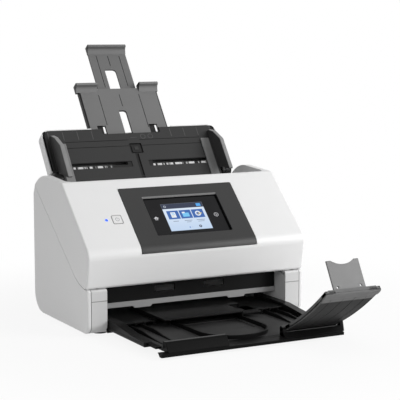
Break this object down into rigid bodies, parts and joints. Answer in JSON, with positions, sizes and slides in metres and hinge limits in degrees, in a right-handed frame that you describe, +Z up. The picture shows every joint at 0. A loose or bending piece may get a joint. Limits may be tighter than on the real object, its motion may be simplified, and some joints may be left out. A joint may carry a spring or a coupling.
{
  "type": "sheet fed document scanner",
  "caption": "Desktop sheet-fed document scanner with leaning input tray, sliding guides and supports, hinged front cover with display, and drawn-out output tray with folding stop.",
  "frame": {"origin": "middle of the bottom of the object's box as it stands with its trays drawn out, on the plane the feet rest on", "axes": "+X to the right seen from the front, +Y to the back, +Z up"},
  "size_m": [0.296, 0.4921, 0.3373],
  "materials": {
    "housing_white": "fine satin grain",
    "panel_grey": "satin with a soft sheen",
    "tray_dark": "fine grain",
    "guide_grey": "fine grain",
    "support_grey": "fine grain",
    "output_black": "fine grain",
    "stop_grey": "satin",
    "trim_grey": "satin",
    "inner_black": "satin",
    "display_black": "polished",
    "display_lit": "lit screen",
    "lamp_blue": "lit lens",
    "board_green": "lacquered board",
    "scan_glass": "polished",
    "steel": "ground",
    "frame_steel": "zinc coated sheet",
    "bearing_tan": "smooth",
    "roller_rubber": "ground rubber",
    "foot_rubber": "moulded rubber",
    "socket_metal": "bright",
    "gear_white": "smooth"
  },
  "bodies": {
    "base": {"base_shell": "housing_white", "rear_cover": "housing_white", "bottom_cover": "inner_black", "rubber_feet": "foot_rubber", "case_screws": "steel", "left_side_frame": "frame_steel", "right_side_frame": "frame_steel", "lower_guide": "inner_black", "exit_frame": "inner_black", "exit_bar": "trim_grey", "hinge_arms": "steel", "cover_catches": "steel", "tray_brackets": "tray_dark", "tray_hinge_pins": "steel", "lower_scan_unit": "inner_black", "lower_scan_glass": "scan_glass", "shaft_bushes": "bearing_tan", "drive_motor": "steel", "drive_belt": "roller_rubber", "main_board": "board_green", "power_inlet": "inner_black", "usb_socket": "socket_metal", "network_socket": "socket_metal"},
    "motor_pulley": {"motor_pulley": "gear_white"},
    "feed_roller": {"feed_shaft": "steel", "feed_tyres": "roller_rubber"},
    "transport_roller": {"transport_shaft": "steel", "transport_tyres": "roller_rubber"},
    "exit_roller": {"exit_shaft": "steel", "exit_tyres": "roller_rubber"},
    "cover": {"front_cover": "housing_white", "cover_hinge_pins": "steel", "upper_guide": "inner_black", "upper_scan_unit": "inner_black", "upper_scan_glass": "scan_glass", "control_panel": "panel_grey", "display_glass": "display_black", "display_module": "display_lit", "panel_board": "board_green", "status_lamp": "lamp_blue"},
    "separation_roller": {"separation_roller": "roller_rubber"},
    "transport_idlers": {"transport_idlers": "roller_rubber"},
    "exit_idlers": {"exit_idlers": "roller_rubber"},
    "power_button": {"power_button": "housing_white"},
    "input_tray": {"tray_plate": "tray_dark", "tray_shell": "housing_white"},
    "left_guide": {"left_guide": "guide_grey"},
    "right_guide": {"right_guide": "guide_grey"},
    "guide_pinion": {"guide_pinion": "gear_white"},
    "paper_support": {"paper_support": "support_grey"},
    "support_extender": {"support_extender": "support_grey"},
    "output_tray": {"output_tray": "output_black"},
    "tray_extension": {"tray_extension": "output_black", "flap_pin": "steel"},
    "stop_flap": {"stop_flap": "tray_dark", "stop_pin": "steel"},
    "stop_plate": {"stop_plate": "stop_grey"}
  },
  "joints": [
    {"name": "cover_hinge", "type": "hinge", "parent": "base", "child": "cover", "pos_m": [0, -0.03368, 0.061], "axis": [1, 0, 0], "range_deg": [0, 75]},
    {"name": "power_button_press", "type": "slide", "parent": "cover", "child": "power_button", "axis": [0, -0.6824, 0.731], "range_m": [-0.001, 0], "stiffness_N_per_m": 400},
    {"name": "feed_roller_spin", "type": "hinge", "parent": "base", "child": "feed_roller", "pos_m": [0, 0.07497, 0.1102], "axis": [1, 0, 0], "continuous": true},
    {"name": "transport_roller_spin", "type": "hinge", "parent": "base", "child": "transport_roller", "pos_m": [0, 0.05664, 0.10125], "axis": [1, 0, 0], "continuous": true},
    {"name": "exit_roller_spin", "type": "hinge", "parent": "base", "child": "exit_roller", "pos_m": [0, 0.00575, 0.06244], "axis": [1, 0, 0], "continuous": true},
    {"name": "motor_pulley_spin", "type": "hinge", "parent": "base", "child": "motor_pulley", "pos_m": [0.131, 0.07082, 0.07], "axis": [1, 0, 0], "continuous": true},
    {"name": "separation_roller_spin", "type": "hinge", "parent": "cover", "child": "separation_roller", "pos_m": [0, 0.06186, 0.12738], "axis": [1, 0, 0], "continuous": true},
    {"name": "transport_idler_spin", "type": "hinge", "parent": "cover", "child": "transport_idlers", "pos_m": [0, 0.04778, 0.11286], "axis": [1, 0, 0], "continuous": true},
    {"name": "exit_idler_spin", "type": "hinge", "parent": "cover", "child": "exit_idlers", "pos_m": [0, -0.0031, 0.07405], "axis": [1, 0, 0], "continuous": true},
    {"name": "input_tray_fold", "type": "hinge", "parent": "base", "child": "input_tray", "pos_m": [0, 0.11303, 0.17004], "axis": [-1, 0, 0], "range_deg": [-125.9, 0]},
    {"name": "right_guide_slide", "type": "slide", "parent": "input_tray", "child": "right_guide", "axis": [1, 0, 0], "range_m": [-0.08, 0]},
    {"name": "left_guide_slide", "type": "slide", "parent": "input_tray", "child": "left_guide", "axis": [1, 0, 0], "range_m": [0, 0.08]},
    {"name": "guide_pinion_turn", "type": "hinge", "parent": "input_tray", "child": "guide_pinion", "pos_m": [0, 0.12663, 0.18303], "axis": [0, 0.81, -0.5864], "range_deg": [0, 601]},
    {"name": "paper_support_slide", "type": "slide", "parent": "input_tray", "child": "paper_support", "axis": [0, 0.5864, 0.81], "range_m": [-0.058, 0]},
    {"name": "support_extender_slide", "type": "slide", "parent": "paper_support", "child": "support_extender", "axis": [0, 0.5864, 0.81], "range_m": [-0.058, 0]},
    {"name": "output_tray_slide", "type": "slide", "parent": "base", "child": "output_tray", "axis": [0, -1, 0], "range_m": [-0.088, 0]},
    {"name": "tray_extension_slide", "type": "slide", "parent": "output_tray", "child": "tray_extension", "axis": [0, -1, 0], "range_m": [-0.022, 0]},
    {"name": "stop_flap_fold", "type": "hinge", "parent": "tray_extension", "child": "stop_flap", "pos_m": [0.083, -0.16118, 0.016], "axis": [1, 0, 0], "range_deg": [-142.5, 0]},
    {"name": "stop_plate_fold", "type": "hinge", "parent": "stop_flap", "child": "stop_plate", "pos_m": [0.0815, -0.24065, 0.06919], "axis": [1, 0, 0], "range_deg": [-98.5, 0]}
  ],
  "couplings": [
    {"joint": "transport_roller_spin", "follows": "feed_roller_spin", "ratio": 1.3333},
    {"joint": "exit_roller_spin", "follows": "feed_roller_spin", "ratio": 1.6},
    {"joint": "motor_pulley_spin", "follows": "feed_roller_spin", "ratio": 1.3333},
    {"joint": "left_guide_slide", "follows": "right_guide_slide", "ratio": -1},
    {"joint": "guide_pinion_turn", "follows": "right_guide_slide", "rad_per_m": -130.9},
    {"joint": "stop_plate_fold", "follows": "stop_flap_fold", "ratio": 0.69053}
  ]
}
